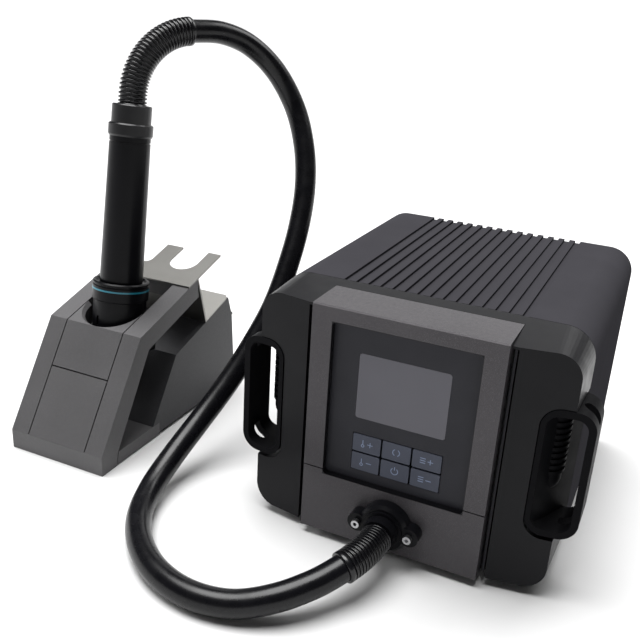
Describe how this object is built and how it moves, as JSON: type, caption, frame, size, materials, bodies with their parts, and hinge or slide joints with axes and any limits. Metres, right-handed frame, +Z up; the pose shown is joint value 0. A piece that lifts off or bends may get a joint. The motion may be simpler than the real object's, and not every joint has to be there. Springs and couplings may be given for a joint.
{
  "type": "hot air rework station",
  "caption": "Bench hot air rework station: black ribbed cabinet with a grey front, display and keys, stiff air hose, and a handpiece in its weighted holder.",
  "frame": {"origin": "on the table, under the middle of the box round everything except the hose and its reliefs", "axes": "+X to the right as seen from the front, +Y from the display towards the rear panel, +Z up"},
  "size_m": [0.424, 0.3537, 0.3236],
  "materials": {
    "cover_paint": "fine matt texture",
    "bezel_plastic": "fine texture",
    "frame_grey": "fine metallic texture",
    "panel_dark": "satin",
    "key_plastic": "satin",
    "display_glass": "gloss",
    "display_panel": "gloss",
    "handle_plastic": "fine texture",
    "rubber_black": "matt",
    "steel_bright": "brushed",
    "steel_zinc": "satin",
    "board_green": "satin",
    "copper_yellow": "satin",
    "aluminium_bare": "satin",
    "fan_plastic": "satin",
    "housing_plastic": "satin",
    "gun_plastic": "satin",
    "teal_plastic": "satin",
    "ceramic_white": "matt",
    "brass_plated": "satin",
    "holder_paint": "fine metallic texture",
    "block_paint": "fine metallic texture"
  },
  "bodies": {
    "station": {"top_cover": "cover_paint", "base_chassis": "steel_zinc", "rear_panel": "cover_paint", "front_bezel": "bezel_plastic", "display_frame": "frame_grey", "lower_panel": "frame_grey", "trim_left": "panel_dark", "trim_right": "panel_dark", "key_panel": "panel_dark", "display_window": "display_glass", "display_module": "display_panel", "control_board": "board_green", "handle_left": "handle_plastic", "handle_right": "handle_plastic", "handle_screws": "steel_zinc", "feet": "rubber_black", "cover_screws": "steel_zinc", "rear_screws": "steel_zinc", "hose_flange": "gun_plastic", "flange_screws": "steel_bright", "flange_relief": "rubber_black", "air_hose": "rubber_black", "blower_housing": "housing_plastic", "blower_lid": "housing_plastic", "blower_motor": "steel_zinc", "air_duct": "housing_plastic", "power_board": "board_green", "transformer": "copper_yellow", "heat_sink": "aluminium_bare", "mains_inlet": "gun_plastic", "power_switch": "gun_plastic", "ground_jack": "brass_plated", "holder_frame": "holder_paint", "holder_front_panel": "holder_paint", "holder_top_panel": "holder_paint", "holder_base": "holder_paint", "holder_block": "block_paint", "holder_bracket": "steel_bright", "holder_cup": "gun_plastic", "holder_pads": "rubber_black"},
    "key_temp_up_body": {"key_temp_up": "key_plastic"},
    "key_temp_down_body": {"key_temp_down": "key_plastic"},
    "key_channel_body": {"key_channel": "key_plastic"},
    "key_power_body": {"key_power": "key_plastic"},
    "key_flow_up_body": {"key_flow_up": "key_plastic"},
    "key_flow_down_body": {"key_flow_down": "key_plastic"},
    "rotor": {"impeller": "fan_plastic", "motor_shaft": "steel_bright"},
    "rocker": {"power_rocker": "gun_plastic"},
    "drawer": {"fuse_drawer": "gun_plastic"},
    "handpiece": {"gun_tube": "gun_plastic", "gun_lower_collar": "gun_plastic", "gun_ring": "teal_plastic", "gun_barrel": "gun_plastic", "nozzle": "steel_bright", "heater_sleeve": "ceramic_white", "heater_core": "ceramic_white", "gun_top_collar": "gun_plastic", "gun_cap": "gun_plastic", "gun_relief": "rubber_black"}
  },
  "joints": [
    {"name": "key_temp_up_press", "type": "slide", "parent": "station", "child": "key_temp_up_body", "axis": [0, 1, 0], "range_m": [0, 0.0005], "stiffness_N_per_m": 600, "springref_m": -0.0008},
    {"name": "key_temp_down_press", "type": "slide", "parent": "station", "child": "key_temp_down_body", "axis": [0, 1, 0], "range_m": [0, 0.0005], "stiffness_N_per_m": 600, "springref_m": -0.0008},
    {"name": "key_channel_press", "type": "slide", "parent": "station", "child": "key_channel_body", "axis": [0, 1, 0], "range_m": [0, 0.0005], "stiffness_N_per_m": 600, "springref_m": -0.0008},
    {"name": "key_power_press", "type": "slide", "parent": "station", "child": "key_power_body", "axis": [0, 1, 0], "range_m": [0, 0.0005], "stiffness_N_per_m": 600, "springref_m": -0.0008},
    {"name": "key_flow_up_press", "type": "slide", "parent": "station", "child": "key_flow_up_body", "axis": [0, 1, 0], "range_m": [0, 0.0005], "stiffness_N_per_m": 600, "springref_m": -0.0008},
    {"name": "key_flow_down_press", "type": "slide", "parent": "station", "child": "key_flow_down_body", "axis": [0, 1, 0], "range_m": [0, 0.0005], "stiffness_N_per_m": 600, "springref_m": -0.0008},
    {"name": "rotor_spin", "type": "hinge", "parent": "station", "child": "rotor", "pos_m": [0.134, 0.037, 0.028], "axis": [0, 0, 1], "continuous": true},
    {"name": "power_rock", "type": "hinge", "parent": "station", "child": "rocker", "pos_m": [0.076, 0.123, 0.046], "axis": [1, 0, 0], "range_deg": [0, 20]},
    {"name": "fuse_pull", "type": "slide", "parent": "station", "child": "drawer", "axis": [0, 1, 0], "range_m": [0, 0.016]},
    {"name": "handpiece_lift", "type": "slide", "parent": "station", "child": "handpiece", "axis": [0, 0.1483, 0.9889], "range_m": [0, 0.09], "deforming": ["air_hose"]}
  ]
}
